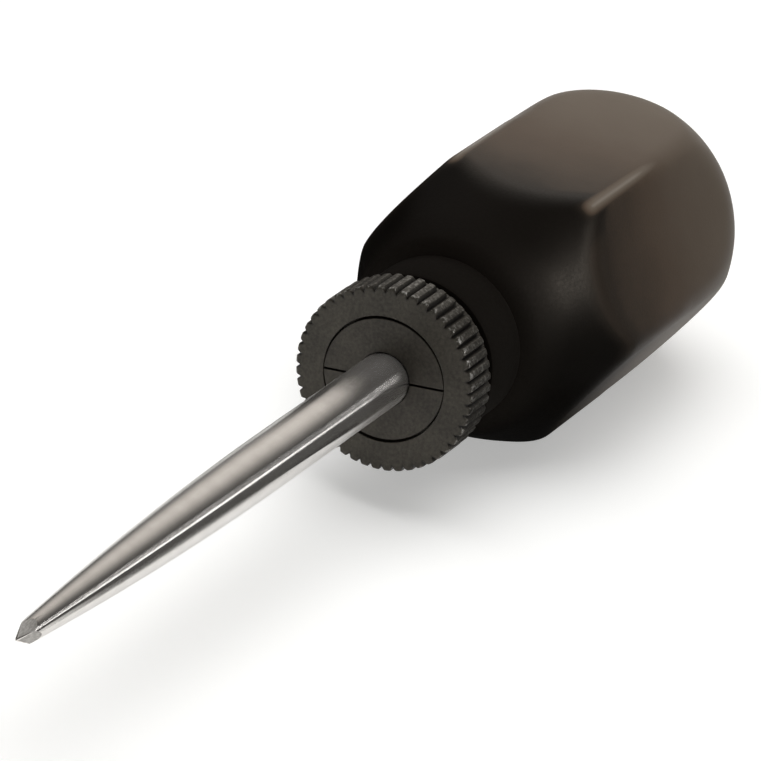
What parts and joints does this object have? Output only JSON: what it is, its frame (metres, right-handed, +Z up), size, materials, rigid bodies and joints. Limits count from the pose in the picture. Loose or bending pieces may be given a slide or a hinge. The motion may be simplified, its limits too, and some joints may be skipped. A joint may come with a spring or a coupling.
{
  "type": "tyre prodder",
  "caption": "Hand tool with a tapered round steel spike, held by a two-jaw chuck with a knurled nut in a hexagonal moulded handle, for probing tyre treads.",
  "frame": {"origin": "in the plane that the handle's lower flat rests on, under the middle of the tool", "axes": "+X along the tool from the spike's point to the handle's domed end, +Z up from the flat it lies on"},
  "size_m": [0.1596, 0.0338, 0.03],
  "materials": {
    "handle_plastic": "satin moulded, brown-black",
    "stem_steel": "turned",
    "jaw_steel": "blackened",
    "spring_steel": "drawn wire",
    "nut_steel": "blackened, knurled",
    "spike_steel": "polished"
  },
  "bodies": {
    "handle": {"handle_grip": "handle_plastic", "chuck_stem": "stem_steel"},
    "jaw_ring": {"jaw_spring": "spring_steel"},
    "jaw_top": {"jaw_upper": "jaw_steel"},
    "jaw_bottom": {"jaw_lower": "jaw_steel"},
    "nut": {"knurled_nut": "nut_steel"},
    "spike": {"spike": "spike_steel"}
  },
  "joints": [
    {"name": "nut_travel", "type": "slide", "parent": "handle", "child": "jaw_ring", "axis": [-1, 0, 0], "range_m": [0, 0.00125]},
    {"name": "nut_turn", "type": "hinge", "parent": "jaw_ring", "child": "nut", "pos_m": [0.0062, 0, 0.015], "axis": [-1, 0, 0], "range_deg": [0, 360]},
    {"name": "jaw_top_open", "type": "slide", "parent": "jaw_ring", "child": "jaw_top", "axis": [0, 0.1736, 0.9848], "range_m": [0, 0.0002657]},
    {"name": "jaw_bottom_open", "type": "slide", "parent": "jaw_ring", "child": "jaw_bottom", "axis": [0, -0.1736, -0.9848], "range_m": [0, 0.0002657]},
    {"name": "spike_slide", "type": "slide", "parent": "handle", "child": "spike", "axis": [-1, 0, 0], "range_m": [0, 0.03]}
  ],
  "couplings": [
    {"joint": "nut_turn", "follows": "nut_travel", "rad_per_m": 5026.5},
    {"joint": "jaw_top_open", "follows": "nut_travel", "ratio": 0.21256},
    {"joint": "jaw_bottom_open", "follows": "nut_travel", "ratio": 0.21256}
  ]
}
